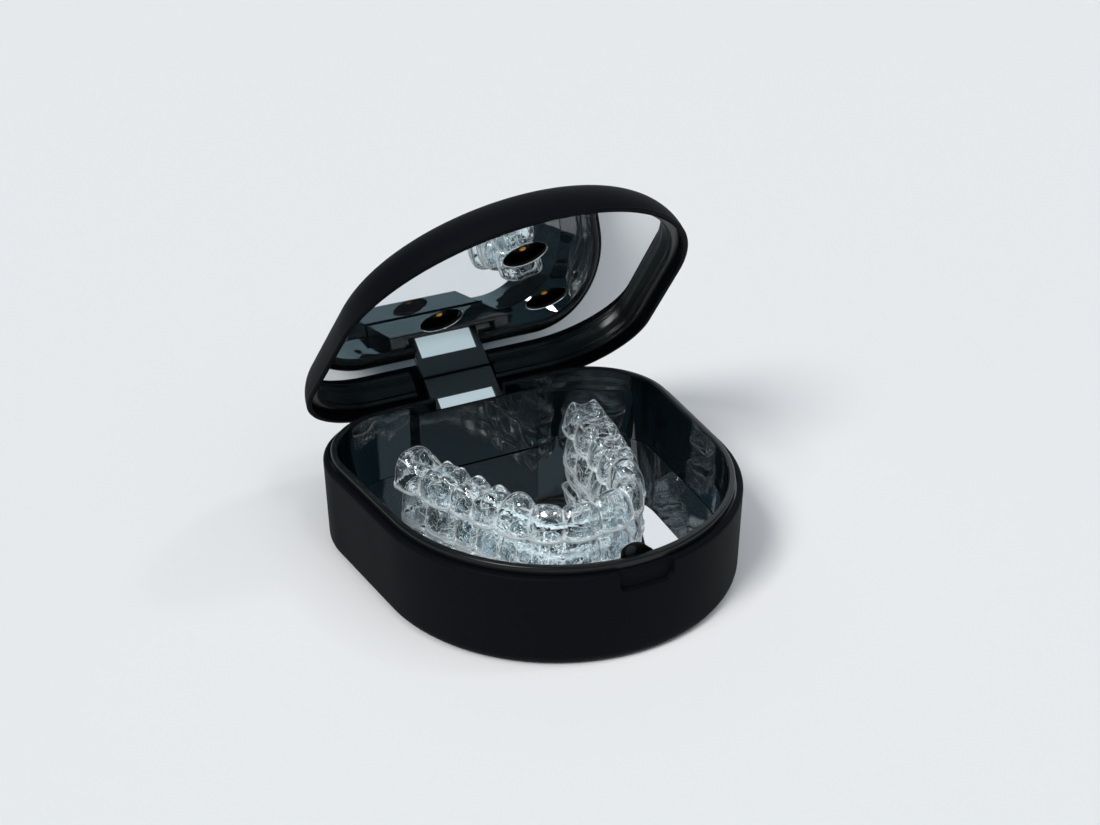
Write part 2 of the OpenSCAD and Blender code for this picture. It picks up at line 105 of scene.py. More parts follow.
class CaseSizes(bpy.types.PropertyGroup):
    """Sizes of the case"""
    corner_radius: length("Corner radius", "Radius of the two rear corners", 21.5)
    side_lean: angle("Side lean", "Inward lean of the straight sides towards the front", 4.8)
    side_length: length("Side length", "Length of the straight sides", 25.9)
    front_radius: length("Front radius", "Radius of the round front", 42)
    shell_wall: length("Shell wall", "Wall of the base shell", 1.4)
    bottom_wall: length("Bottom wall", "Thickness of the shell's bottom", 1.2)
    base_draft: length("Draft", "Inward lean of the shell wall from rim to underside", 0.3)
    foot_round: length("Foot rounding", "Radius of the edge round the underside", 3)
    rim_round: length("Rim rounding", "Radius of the shell's outer rim edge", 0.8)
    notch_width: length("Notch width", "Width of the thumb notch", 12.6)
    notch_height: length("Notch height", "Height of the thumb notch below the rim", 4.6)
    notch_depth: length("Notch depth", "Depth of the thumb notch", 0.95)
    lip_in: length("Lip", "Distance of the lip's outer face from the outline", 1.8)
    liner_in: length("Liner", "Distance of the liner's inner wall from the outline", 3.4)
    lid_height: length("Lid height", "Height of the lid and radius of its rounded edge", 11)
    lid_wall: length("Lid wall", "Wall of the lid shell", 1.2)
    rim_gap: length("Rim gap", "Gap between the two rims when the lid is closed", 0.4)
    mirror_depth: length("Mirror depth", "Depth of the mirror's face behind the lid rim", 5.5)
    recess_depth: length("Recess depth", "Depth of the recess that takes the lip", 2.1)
    box_width: length("Hinge box width", "Width of the hinge box", 31.8)
    box_in: length("Hinge box front", "Distance of the hinge box's front panel from the back", 6.5)
    box_top: length("Hinge box height", "Height of the hinge box", 22.2)
    panel_wall: length("Panel wall", "Thickness of the hinge box's front panel", 1.2)
    pocket_width: length("Pocket width", "Width of the pocket in the hinge box", 24)
    slot_height: length("Slot height", "Height of the bottom of the swing slot", 14.5)
    hole_width: length("Hole width", "Diameter of the holes in the lid mirror", 10)
    window_rise: length("Window rise", "Height of the arm window's upper edge behind the lid rim", 0.1)
    room_left: length("Room left", "Room left of the arm in the lid's frame and mirror", 2.5)
    room_right: length("Room right", "Room right of the arm in the lid's frame and mirror", 1)


class TraySizes(bpy.types.PropertyGroup):
    """Sizes of the trays"""
    arch_length: length("Arch length", "Length of half the upper arch along its channel", 53.9)
    arm_angle: angle("Arm angle", "Angle at which the arms run back, from straight across", 74.5)
    front_share: portion("Front share", "Share of the arch that its round front takes", 0.23)
    lower_scale: portion("Lower scale", "Size of the lower arch, as a share of the upper one", 0.97)
    upper_height: length("Upper height", "Height of the upper tray", 8)
    lower_height: length("Lower height", "Height of the lower tray", 8.8)
    sheet: length("Sheet", "Thickness of the formed sheet", 0.6)
    front: length("Front", "Distance of the trays' front from the back of the case", 57.8)
    side: length("Side", "Sideways place of the trays' front", 4.1)
    turn: angle("Turn", "Turn of the trays in the case", 5.5)


class CaseColours(bpy.types.PropertyGroup):
    """Colours of the case and its stage"""
    soft_touch: colour("Soft-touch black", "Coating of the two shells", "#080A0F")
    gloss: colour("Polished black", "Liner of the base", "#060D11")
    panel: colour("Panel black", "Hinge box", "#0B1317")
    satin: colour("Satin black", "Frame of the lid", "#0E1113")
    arm: colour("Arm black", "Hinge arm", "#353D42")
    silver: colour("Silvering", "Reflecting layer of the mirrors", "#F6F8F9")
    # This colour also feeds the strip's painted glow
    strip: colour("Strip", "Pale strip in the arm's window", "#C3D5DC")
    sheet: colour("Clear sheet", "Formed sheet of the trays", "#EFF7FA")
    floor: colour("Floor", "Pale studio floor", "#E8E9EB")


def sizes():
    return bpy.context.scene.case_sizes


def tray_sizes():
    return bpy.context.scene.tray_sizes


def colours():
    return bpy.context.scene.case_colours


# Mesh helpers

def arc(centre, radius, start, end, steps):
    """Points of an arc between two angles in degrees."""
    turns = [math.radians(start + (end - start) * i / steps) for i in range(steps + 1)]
    return [(centre[0] + radius * math.cos(t), centre[1] + radius * math.sin(t)) for t in turns]


def rows(inset_low, low, inset_high, high, count):
    """Evenly spaced profile points on a straight wall, without its two ends."""
    shares = [(i + 1) / (count + 1) for i in range(count)]
    return [(inset_low + (inset_high - inset_low) * k, low + (high - low) * k) for k in shares]


class Outline:
    """Centres and lengths of the case's outline, worked out from its radii."""

    def __init__(self, s):
        step = s.front_radius - s.corner_radius
        self.lean = s.side_lean
        self.back_half = step * math.cos(s.side_lean) + s.side_length * math.sin(s.side_lean)
        drop = s.corner_radius + s.side_length * math.cos(s.side_lean) - step * math.sin(s.side_lean)
        self.back = (drop + s.front_radius) / 2
        self.corner = Vector((self.back_half, self.back - s.corner_radius, 0))
        self.front = Vector((0, self.back - drop, 0))
        self.side = Vector((-math.sin(s.side_lean), -math.cos(s.side_lean), 0)) * s.side_length


def pull(bm, edges, way):
    """Extrudes edges along a straight way and returns the new edges."""
    made = bmesh.ops.extrude_edge_only(bm, edges=edges)["geom"]
    bmesh.ops.translate(bm, verts=[g for g in made if isinstance(g, BMVert)], vec=way)
    return [g for g in made if isinstance(g, BMEdge)]


def swing(bm, edges, centre, turn, steps):
    """Spins edges about an upright axis and returns the last edges."""
    verts = list(dict.fromkeys(v for e in edges for v in e.verts))
    made = bmesh.ops.spin(bm, geom=verts + edges, cent=centre, axis=(0, 0, 1), angle=turn, steps=steps)
    return [g for g in made["geom_last"] if isinstance(g, BMEdge)]


def sweep(profile, closed, corner_steps=60, front_steps=110):
    """Carries a profile of (inset, height) points round one half of the outline, then mirrors it.

    An open profile gets a flat plate at each of its two ends.
    """
    path = Outline(sizes())
    bm = bmesh.new()
    verts = [bm.verts.new((0, path.back - inset, height)) for inset, height in profile]
    pairs = list(zip(verts, verts[1:])) + ([(verts[-1], verts[0])] if closed else [])
    edges = [bm.edges.new(pair) for pair in pairs]
    edges = pull(bm, edges, (path.back_half, 0, 0))
    edges = swing(bm, edges, path.corner, -QUARTER_TURN - path.lean, corner_steps)
    edges = pull(bm, edges, path.side)
    swing(bm, edges, path.front, path.lean - QUARTER_TURN, front_steps)
    whole = bm.verts[:] + bm.edges[:] + bm.faces[:]
    bmesh.ops.mirror(bm, geom=whole, axis="X", merge_dist=SAME_POINT)
    bmesh.ops.remove_doubles(bm, verts=bm.verts[:], dist=SAME_POINT)
    if not closed:
        plate_edge = 0.4 * MM
        rim = [e for e in bm.edges if e.is_boundary]
        plates = bmesh.ops.holes_fill(bm, edges=rim, sides=0)["faces"]
        bmesh.ops.inset_individual(bm, faces=plates, thickness=plate_edge)
    bmesh.ops.recalc_face_normals(bm, faces=bm.faces[:])
    return bm


def box(low, high):
    """A bmesh cube between two corners."""
    low, high = Vector(low), Vector(high)
    bm = bmesh.new()
    bmesh.ops.create_cube(bm, size=1)
    bmesh.ops.scale(bm, vec=high - low, verts=bm.verts[:])
    bmesh.ops.translate(bm, vec=(low + high) / 2, verts=bm.verts[:])
    return bm


def block(width, near_in, far_in, low, high):
    """A cube from its middle in X, distances in from the back, and heights."""
    back = Outline(sizes()).back
    return box((-width / 2, back - far_in, low), (width / 2, back - near_in, high))


def swing_slot(depth, low):
    """Cutters of the slot in the back wall: the pocket's width at the bushes, and the arm's above them."""
    back, arm_gap, bush_gap = Outline(sizes()).back, 0.3 * MM, 0.1 * MM
    bush_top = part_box("hinge_bush_left")[1].z + bush_gap
    left, right = (corner.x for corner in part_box("hinge_arm"))
    near = left - arm_gap, back - depth, bush_top - MM
    far = right + arm_gap, back + MM, liner_high.z + MM
    return [block(sizes().pocket_width, -MM, depth, low, bush_top), box(near, far)]


def arm_room(far_in, high):
    """Cutter round the arm in the closed lid, with room on both sides."""
    s, back = sizes(), Outline(sizes()).back
    left, right = (corner.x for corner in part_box("hinge_arm"))
    return box((left - s.room_left, back - far_in, 0), (right + s.room_right, back + MM, high))


def make(bm, name, material, sharp=SHARP_EDGE):
    """Turns a bmesh into an object, smooth apart from edges sharper than an angle."""
    mesh = bpy.data.meshes.new(name)
    bm.to_mesh(mesh)
    bm.free()
    mesh.shade_smooth()
    mesh.set_sharp_from_angle(angle=sharp)
    if material:
        mesh.materials.append(material)
    piece = bpy.data.objects.new(name, mesh)
    bpy.context.scene.collection.objects.link(piece)
    return piece


def carve(piece, cutters):
    """Cuts the given bmeshes out of a piece and bakes the result into its mesh."""
    for i, cutter in enumerate(cutters):
        tool = make(cutter, f"cutter_{i}", None)
        cut = piece.modifiers.new("cut", "BOOLEAN")
        cut.operation = "DIFFERENCE"
        cut.solver = "EXACT"
        cut.object = tool
        graph = bpy.context.evaluated_depsgraph_get()
        mesh = bpy.data.meshes.new_from_object(piece.evaluated_get(graph))
        piece.modifiers.remove(cut)
        old = piece.data
        piece.data = mesh
        mesh.name = piece.name
        bpy.data.meshes.remove(old)
        bpy.data.objects.remove(tool)
    piece.data.shade_smooth()
    piece.data.set_sharp_from_angle(angle=SHARP_EDGE)


def soften(piece, width_mm, weld=False):
    """Rounds a piece's sharp edges with a live bevel; a solid node's loose triangles are welded first."""
    if weld:
        piece.modifiers.new("weld", "WELD").merge_threshold = SAME_POINT
    bevel = piece.modifiers.new("edges", "BEVEL")
    bevel.width = width_mm * MM
    bevel.segments = 3
    bevel.limit_method = "ANGLE"
    bevel.angle_limit = SHARP_EDGE
    bevel.harden_normals = True


def seat(piece, body, slot, *nodes):
    """Hands a finished piece to the frame."""
    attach(piece, body)
    if nodes:
        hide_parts(*nodes)


def lid_turn():
    """Moves a lid piece from closed to the opening shown."""
    pivot = Matrix.Translation(hinge["pos_m"])
    turned = Matrix.Rotation(math.radians(hinge["range_deg"][0]), 4, "X")
    return pivot @ turned @ pivot.inverted()


def light_centre(light):
    """Centre of a light in the closed lid."""
    low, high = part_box(light)
    return lid_turn().inverted() @ ((low + high) / 2)


def lid_level():
    """Height of the lid's rim when it is closed."""
    return base_high.z + sizes().rim_gap


def paint(node, material):
    """Gives a solid node its material."""
    slots = frame["nodes"][node].data.materials
    slots.clear()
    slots.append(material)


def smoothstep(low, high, value):
    """Eases from 0 at one value to 1 at another."""
    k = min(1.0, max(0.0, (value - low) / (high - low)))
    return k * k * (3 - 2 * k)


def bell(value, width):
    """1 at zero, and next to nothing at twice the width."""
    return math.exp(-(value / width) ** 2)


# Materials

def rgba(rgb):
    return (*rgb, 1)


def shade(rgb, level):
    """A colour made darker or lighter."""
    return [c * level for c in rgb]


def per_metre(feature_mm):
    """Texture scale at which one feature measures that many millimetres."""
    return 1000 / feature_mm


def feed(node, inputs):
    """Gives a node its settings and links: a socket is linked, a ramp gets its stops, the rest is set."""
    for key, value in inputs.items():
        if isinstance(value, bpy.types.NodeSocket):
            node.id_data.links.new(value, node.inputs[key])
        elif key == "color_ramp":
            for stop, (position, tone) in zip(node.color_ramp.elements, value):
                stop.position = position
                stop.color = rgba(tone)
        elif isinstance(key, str) and hasattr(node, key):
            setattr(node, key, value)
        else:
            node.inputs[key].default_value = value


def add(tree, kind, inputs, output):
    """Adds a shader node with its settings and links, and returns one of its outputs."""
    node = tree.nodes.new("ShaderNode" + kind)
    feed(node, inputs)
    return node.outputs[output]


def new_material(name):
    """A material with a Principled shader: returns it, its tree, the shader and the place on the piece.

    One that is there already comes back with nothing else, and is left as it is.
    """
    material = bpy.data.materials.get(name)
    if material:
        return material, None, None, None
    material = bpy.data.materials.new(name)
    material.use_nodes = True
    tree = material.node_tree
    return material, tree, tree.nodes["Principled BSDF"], add(tree, "TexCoord", {}, "Object")


def painted_shade_line(tree, place, tint, shade_plane):
    """Paints shade into a colour: a dark line a quarter of a millimetre wide along a plane.

    The shade plane is a point of the plane and its normal. Without one, the colour stays as it is.
    """
    if not shade_plane:
        return tint
    point, normal = shade_plane
    dark, near, far = 0.05, 0.2 * MM, 0.3 * MM
    away = add(tree, "VectorMath", {"operation": "SUBTRACT", 0: place, 1: point}, "Vector")
    height = add(tree, "VectorMath", {"operation": "DOT_PRODUCT", 0: away, 1: normal}, "Value")
    fade = {"Value": height, "From Min": near, "From Max": far, "To Min": dark}
    level = add(tree, "MapRange", fade, "Result")
    return add(tree, "VectorMath", {"operation": "SCALE", "Vector": tint, "Scale": level}, "Vector")


def soft_touch():
    # Soft-touch coating sprayed on moulded ABS: deep matt black, a fine sprayed grain and faint handling
    # marks. The grain is drawn about 0.35 mm wide, coarser than the real spray, so that it shows.
    material, tree, shader, place = new_material("soft_touch_coated_abs")
    if tree:
        tones = (0, shade(colours().soft_touch, 0.85)), (1, shade(colours().soft_touch, 1.2))
        grain = add(tree, "TexNoise", {"Scale": per_metre(0.35), "Detail": 2, "Vector": place}, "Fac")
        marks = add(tree, "TexNoise", {"Scale": per_metre(14), "Detail": 4, "Vector": place}, "Fac")
        spray = {"Height": grain, "Strength": 0.25, "Distance": 0.02 * MM}
        feed(shader, {
            "Base Color": add(tree, "ValToRGB", {"color_ramp": tones, "Fac": marks}, "Color"),
            "Roughness": add(tree, "MapRange", {"Value": marks, "To Min": 0.55, "To Max": 0.68}, "Result"),
            "Normal": add(tree, "Bump", spray, "Normal"),
            "Specular IOR Level": 0.05})
    return material


def polished_abs(name, base, ior, wave_mm, shade_plane=None):
    # Black ABS from a polished mould: sharp reflections that wave where the wall has sunk, and a few specks
    # of dust about 0.15 mm across. A lacquered piece has the higher index. Where it meets a plate, a dark
    # line of painted shade is drawn into its colour.
    material, tree, shader, place = new_material(name)
    if tree:
        tones = (0.018, linear("#59666B")), (0.03, base)
        sink = add(tree, "TexNoise", {"Scale": per_metre(8), "Detail": 1, "Vector": place}, "Fac")
        haze = add(tree, "TexNoise", {"Scale": per_metre(5), "Detail": 5, "Vector": place}, "Fac")
        dust = add(tree, "TexVoronoi", {"Scale": per_metre(3.2), "Vector": place}, "Distance")
        speck = add(tree, "ValToRGB", {"color_ramp": tones, "Fac": dust}, "Color")
        wave = {"Height": sink, "Strength": 0.4, "Distance": wave_mm * MM}
        feed(shader, {
            "Base Color": painted_shade_line(tree, place, speck, shade_plane),
            "Roughness": add(tree, "MapRange", {"Value": haze, "To Max": 0.04}, "Result"),
            "Normal": add(tree, "Bump", wave, "Normal"),
            "IOR": ior})
    return material


def satin_abs(name, base, shade_plane=None):
    # Black ABS from a lightly etched mould: satin, with a fine even texture about 0.3 mm wide. Where it
    # meets a plate, a dark line of painted shade is drawn into its colour.
    material, tree, shader, place = new_material(name)
    if tree:
        tones = (0, shade(base, 0.8)), (1, shade(base, 1.25))
        etch = add(tree, "TexNoise", {"Scale": per_metre(0.3), "Detail": 3, "Vector": place}, "Fac")
        tone = add(tree, "ValToRGB", {"color_ramp": tones, "Fac": etch}, "Color")
        texture = {"Height": etch, "Strength": 0.2, "Distance": 0.02 * MM}
        feed(shader, {
            "Base Color": painted_shade_line(tree, place, tone, shade_plane),
            "Roughness": add(tree, "MapRange", {"Value": etch, "To Min": 0.3, "To Max": 0.42}, "Result"),
            "Normal": add(tree, "Bump", texture, "Normal")})
    return material


def silvered_mirror():
    # Silvered acrylic sheet: a bright mirror with a faint haze of handling over it.
    material, tree, shader, place = new_material("silvered_acrylic")
    if tree:
        smear = add(tree, "TexNoise", {"Scale": per_metre(11), "Detail": 5, "Vector": place}, "Fac")
        haze = {"Value": smear, "From Min": 0.35, "From Max": 0.8, "To Max": 0.03}
        feed(shader, {
            "Base Color": rgba(colours().silver),
            "Roughness": add(tree, "MapRange", haze, "Result"),
            "Metallic": 0.994})
    return material


def painted_glow_strip(shade_plane):
    # Milky polycarbonate strip: pale blue-grey under a satin skin, with a soft even glow that is painted
    # light, since the strip is no lamp, and a dark line of painted shade under the window's edge.
    material, tree, shader, place = new_material("milky_polycarbonate_painted_glow")
    if tree:
        tones = (0, shade(colours().strip, 0.92)), (1, colours().strip)
        cloud = add(tree, "TexNoise", {"Scale": per_metre(4), "Detail": 3, "Vector": place}, "Fac")
        tone = add(tree, "ValToRGB", {"color_ramp": tones, "Fac": cloud}, "Color")
        tint = painted_shade_line(tree, place, tone, shade_plane)
        feed(shader, {
            "Base Color": tint,
            # painted light: the strip's colour given again as a glow, though it is no lamp
            "Emission Color": tint,
            "Emission Strength": 0.64,
            "Roughness": 0.32})
    return material


def clear_share(tree, place):
    """Share of the sheet's outside that stays clear, between pale lines of painted light drawn as milky
    haze.
    """
    folds = {"Scale": per_metre(4), "Detail": 2, "Distortion": 0.7, "Vector": place}
    fold = add(tree, "TexNoise", folds, "Fac")
    level = add(tree, "Math", {"operation": "SUBTRACT", 0: fold, 1: 0.5}, "Value")
    near = add(tree, "Math", {"operation": "ABSOLUTE", 0: level}, "Value")
    crease = add(tree, "MapRange", {"Value": near, "From Max": 0.025, "To Min": 0.5, "To Max": 0}, "Result")
    facing = add(tree, "LayerWeight", {"Blend": 0.5}, "Facing")
    edges = {"Value": facing, "From Min": 0.58, "From Max": 0.92, "To Max": 0.85}
    edge_on = add(tree, "MapRange", edges, "Result")
    painted_light = add(tree, "Attribute", {"attribute_name": "painted_light"}, "Fac")
    # painted light: pale haze along creases, where the sheet is seen edge-on, and along the attribute's
    # lines
    pale = add(tree, "Math", {"operation": "MAXIMUM", 0: crease, 1: edge_on}, "Value")
    haze = add(tree, "Math", {"operation": "MAXIMUM", 0: pale, 1: painted_light}, "Value")
    return add(tree, "Math", {"operation": "SUBTRACT", 0: 1, 1: haze}, "Value")


def clear_sheet(name, outside):
    # PETG sheet formed over a printed jaw: clear as glass, with the print's layer lines, drawn 0.4 mm apart
    # so that they show, and a soft crinkle where the sheet was drawn down. On the outside, pale lines of
    # painted light stand for light gathered in the sheet: milky haze round the teeth and along the gum,
    # which a vertex attribute holds, along a few creases, and where the sheet is seen edge-on.
    material, tree, shader, place = new_material(name)
    if tree:
        print_lines = {
            "bands_direction": "Z", "Scale": per_metre(0.4) / 20, "Distortion": 2.5, "Detail": 2,
            "Detail Scale": 1.5, "Vector": place}
        layers = add(tree, "TexWave", print_lines, "Fac")
        crinkle = add(tree, "TexNoise", {"Scale": per_metre(1.7), "Detail": 2, "Vector": place}, "Fac")
        lines = add(tree, "Bump", {"Height": layers, "Strength": 0.3, "Distance": 0.03 * MM}, "Normal")
        dents = {"Height": crinkle, "Strength": 0.6, "Distance": 0.25 * MM, "Normal": lines}
        feed(shader, {
            "Base Color": rgba(colours().sheet),
            "Transmission Weight": 1,
            "Roughness": 0.03,
            "IOR": PETG_INDEX,
            "Normal": add(tree, "Bump", dents, "Normal")})
        if outside:
            # painted light on the outside: pale milky haze where light would gather in the sheet
            feed(shader, {"Transmission Weight": clear_share(tree, place)})
    return material


def cut_edge():
    # Trimmed and flamed edge of the sheet: light runs along the sheet and leaves here. That pale line is
    # painted light, drawn as an edge that is partly milky instead of clear.
    material, tree, shader, place = new_material("flamed_petg_edge")
    if tree:
        nicks = add(tree, "TexNoise", {"Scale": per_metre(0.8), "Detail": 2, "Vector": place}, "Fac")
        clear = add(tree, "MapRange", {"Value": nicks, "To Min": 0.2, "To Max": 0.75}, "Result")
        feed(shader, {
            "Base Color": rgba(colours().sheet),
            "Transmission Weight": clear,
            "Roughness": 0.2,
            "IOR": PETG_INDEX})
    return material


def speckled(name, dark, light, feature_mm, roughness, metallic=0.0, specular=0.5):
    """A plain finish: two near tones in a fine grain."""
    material, tree, shader, place = new_material(name)
    if tree:
        tones = (0, linear(dark)), (1, linear(light))
        grain = add(tree, "TexNoise", {"Scale": per_metre(feature_mm), "Detail": 3, "Vector": place}, "Fac")
        rough = {"Value": grain, "To Min": roughness * 0.8, "To Max": roughness * 1.2}
        feed(shader, {
            "Base Color": add(tree, "ValToRGB", {"color_ramp": tones, "Fac": grain}, "Color"),
            "Roughness": add(tree, "MapRange", rough, "Result"),
            "Metallic": metallic,
            "Specular IOR Level": specular})
    return material


# Operators

class CASE_OT_base_shell(bpy.types.Operator):
    """Outer tub with its rounded foot and rim, thumb notch, swing slot and socket slot"""
    bl_idname = "case.base_shell"
    bl_label = "Base shell"

    def profile(self, s):
        top = base_high.z
        inner = s.foot_round - s.bottom_wall
        notch_margin = 1.2 * MM
        notch_low = top - s.notch_height - notch_margin
        wall_in = s.base_draft * (1 - notch_low / top)
        return (
            arc((s.base_draft + s.foot_round, s.foot_round), s.foot_round, 270, 180, 10)
            + [(wall_in, notch_low)]
            + rows(wall_in, notch_low, 0, top - s.rim_round, 16)
            + arc((s.rim_round, top - s.rim_round), s.rim_round, 180, 90, 8)
            + [(s.shell_wall, top)]
            + arc((s.shell_wall + inner, s.bottom_wall + inner), inner, 180, 270, 6))

    def press_notch(self, bm, s):
        """Pushes the thumb notch into the front, with soft edges and round lower corners."""
        centre = Outline(s).front
        corner, soft, skin = 1.6 * MM, 0.1 * MM, 0.1 * MM
        half = Vector((s.notch_width / 2 - corner, s.notch_height - corner))
        top, level, margin = base_high.z, Vector((1, 1, 0)), Vector((MM, 0.8 * MM))
        reach = Vector((s.notch_width / 2, s.notch_height)) + margin
        near = {
            v for v in bm.verts
            if v.co.y < centre.y - s.front_radius / 2 and abs(v.co.x) < reach.x and v.co.z > top - reach.y
            and ((v.co - centre) * level).length > s.front_radius - MM}
        edges = [e for e in bm.edges if near.issuperset(e.verts)]
        bmesh.ops.subdivide_edges(bm, edges=edges, cuts=3, use_grid_fill=True)
        for v in bm.verts:
            out = (v.co - centre) * level
            if out.y > 0 or out.length < s.front_radius - s.rim_round - skin:
                continue
            gap = Vector((max(0, abs(v.co.x) - half.x), max(0, top - v.co.z - half.y)))
            depth = s.notch_depth * smoothstep(corner + soft, corner - soft, gap.length)
            v.co -= out.normalized() * depth

    def execute(self, context):
        s = sizes()
        bm = sweep(self.profile(s), False, front_steps=190)
        self.press_notch(bm, s)
        piece = make(bm, "tub", soft_touch())
        low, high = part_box("charge_socket")
        gap, reach = 0.2 * MM, 2 * MM
        near = low.x - gap, high.y - reach, low.z - gap
        far = high.x + gap, high.y + reach, high.z + gap
        carve(piece, [box(near, far)] + swing_slot(s.shell_wall + MM, s.slot_height))
        seat(piece, "base", "soft_touch", "base_shell")
        return {"FINISHED"}


class CASE_OT_base_liner(bpy.types.Operator):
    """Polished inner tub with its raised lip, and the hinge box at its back"""
    bl_idname = "case.base_liner"
    bl_label = "Base liner"

    def profile(self, s):
        lip, pan = liner_high.z, mirror_low.z
        lip_round, lean, pan_wall, fit = 0.55 * MM, 0.3 * MM, 0.9 * MM, 0.05 * MM
        foot_in, foot_up, pan_in = 1.6 * MM, 1.4 * MM, 2 * MM
        low, ledge = pan - pan_wall, base_high.z - 0.5 * MM
        outer = s.shell_wall + fit
        return (
            [(s.liner_in + pan_in, low), (outer + foot_in, low), (outer, low + foot_up)]
            + [(outer, ledge), (s.lip_in, ledge)]
            + arc((s.lip_in + lip_round, lip - lip_round), lip_round, 180, 90, 6)
            + arc((s.liner_in - lip_round, lip - lip_round), lip_round, 90, 0, 6)
            + [(s.liner_in, base_high.z / 2), (s.liner_in + lean, pan)])

    def execute(self, context):
        s = sizes()
        pan, gap, lip_foot = mirror_low.z, 0.03 * MM, 0.05 * MM
        lacquered = polished_abs("lacquered_black_abs", colours().gloss, ior=1.75, wave_mm=0.3)
        wall = make(sweep(self.profile(s), False), "liner", lacquered)
        pin_low, pin_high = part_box("hinge_pin")
        room = Vector((MM, gap, gap))
        carve(wall, [box(pin_low - room, pin_high + room)] + swing_slot(s.box_in, pan))
        # Lip rubbed by the lid: the same black, dulled to a satin
        rubbed = speckled("rubbed_black_abs", "#06080A", "#0D1113", 0.5, 0.3, specular=0.3)
        wall.data.materials.append(rubbed)
        for polygon in wall.data.polygons:
            polygon.material_index = 1 if polygon.center.z > base_high.z + lip_foot else 0
        seat(wall, "base", "gloss_liner", "base_liner")

        hollow = block(s.pocket_width, -MM, s.box_in - s.panel_wall, pan, liner_high.z + MM)
        overlap = 0.4 * MM
        shape = block(s.box_width, s.liner_in - overlap, s.box_in, pan, s.box_top)
        # Painted shade: a dark line along the hinge box's foot, where it meets the floor mirror
        shade_plane = Vector((0, 0, mirror_high.z)), Vector((0, 0, 1))
        polished = polished_abs("polished_black_abs", colours().panel, ior=1.45, wave_mm=0.04, shade_plane=shade_plane)
        hinge_box = make(shape, "hinge_box", polished)
        carve(hinge_box, [hollow])
        soften(hinge_box, 0.35)
        seat(hinge_box, "base", "gloss_liner")
        return {"FINISHED"}


class CASE_OT_latch(bpy.types.Operator):
    """Black snap tongue, steep on its left and sloping on its right, with a grey knob on a neck"""
    bl_idname = "case.latch"
    bl_label = "Latch tongue"

    def tongue(self, low, high, face, thick):
        """Front plate with a round top, drawn back to its thickness."""
        middle, half = (low.x + high.x) / 2, (high.x - low.x) / 2
        arch, lip = 2.6 * MM, base_high.z + MM
        steep, slope, narrowest = 3.5, 2, 0.1
        flare_out, flare_up = 1.5 * MM, 0.9 * MM
        bm = bmesh.new()
        bmesh.ops.create_grid(bm, x_segments=28, y_segments=40, size=1)
        for v in bm.verts:
            z = low.z + (high.z - low.z) * (v.co.y + 1) / 2
            over = min(1, max(0, (z - high.z + arch) / arch))
            right = v.co.x > 0
            width = half * max(narrowest, (1 - over ** (slope if right else steep)) ** 0.5)
            flare = flare_out * math.exp(-max(0, z - lip) / flare_up) if right else 0
            v.co = (middle + v.co.x * (width + flare), face, z)
        made = bmesh.ops.extrude_face_region(bm, geom=bm.faces[:])["geom"]
        back = [g for g in made if isinstance(g, BMVert)]
        bmesh.ops.translate(bm, vec=(0, thick, 0), verts=back)
        bmesh.ops.recalc_face_normals(bm, faces=bm.faces[:])
        return bm

    def knob(self, spot):
        """Round flat head on a neck that widens downwards."""
        head, flat, neck_down = 1.3 * MM, (1, 0.25, 1), Vector((0, 0, -1.7 * MM))
        neck_foot, neck_top, neck_length = 1.35 * MM, 0.6 * MM, 1.8 * MM
        bm = bmesh.new()
        bmesh.ops.create_uvsphere(bm, u_segments=32, v_segments=16, radius=head)
        bmesh.ops.scale(bm, vec=flat, verts=bm.verts[:])
        bmesh.ops.translate(bm, vec=spot, verts=bm.verts[:])
        neck = bmesh.ops.create_cone(
            bm, cap_ends=True, segments=24, radius1=neck_foot, radius2=neck_top, depth=neck_length)["verts"]
        bmesh.ops.scale(bm, vec=flat, verts=neck)
        bmesh.ops.translate(bm, vec=spot + neck_down, verts=neck)
        return bm

    def execute(self, context):
        low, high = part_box("latch_tongue")
        thick, back_gap = 0.8 * MM, 0.1 * MM
        face = high.y - thick - back_gap
        # Deep black ABS: a smooth mould face that throws little light
        deep_black = speckled("deep_black_abs", "#040506", "#08090A", 0.4, 0.5, specular=0.1)
        tongue = make(self.tongue(low, high, face, thick), "latch_dome", deep_black)
        soften(tongue, 0.2)
        seat(tongue, "base", "satin_black", "latch_tongue")

        side, drop = -1.0 * MM, 1.35 * MM
        spot = Vector(((low.x + high.x) / 2 + side, face, high.z - drop))
        # Moulded grey ABS: a shade lighter than the tongue, with a dull shine
        grey = speckled("grey_abs", "#1D1E22", "#26272B", 0.4, 0.5, specular=0.1)
        seat(make(self.knob(spot), "latch_knob", grey), "base", "satin_black")
        return {"FINISHED"}


class CASE_OT_lid_shell(bpy.types.Operator):
    """Outer dome of the lid with a fine groove in its rim"""
    bl_idname = "case.lid_shell"
    bl_label = "Lid shell"

    def execute(self, context):
        s = sizes()
        rim = lid_level()
        centre = (s.lid_height, rim)
        inner = s.lid_height - s.lid_wall
        groove, groove_in, edge, skin = 0.22 * MM, 0.75 * MM, 0.3 * MM, 0.03 * MM
        profile = (
            arc(centre, inner, 90, 180, 40)
            + [(groove_in + groove, rim), (groove_in + groove, rim + groove)]
            + [(groove_in, rim + groove), (groove_in, rim)]
            + arc((edge, rim + edge), edge, 270, 180, 4)
            + arc(centre, s.lid_height - skin, 178, 90, 48))
        bm = sweep(profile, False)
        bm.transform(lid_turn())
        seat(make(bm, "dome", soft_touch()), "lid", "soft_touch", "lid_shell")
        return {"FINISHED"}


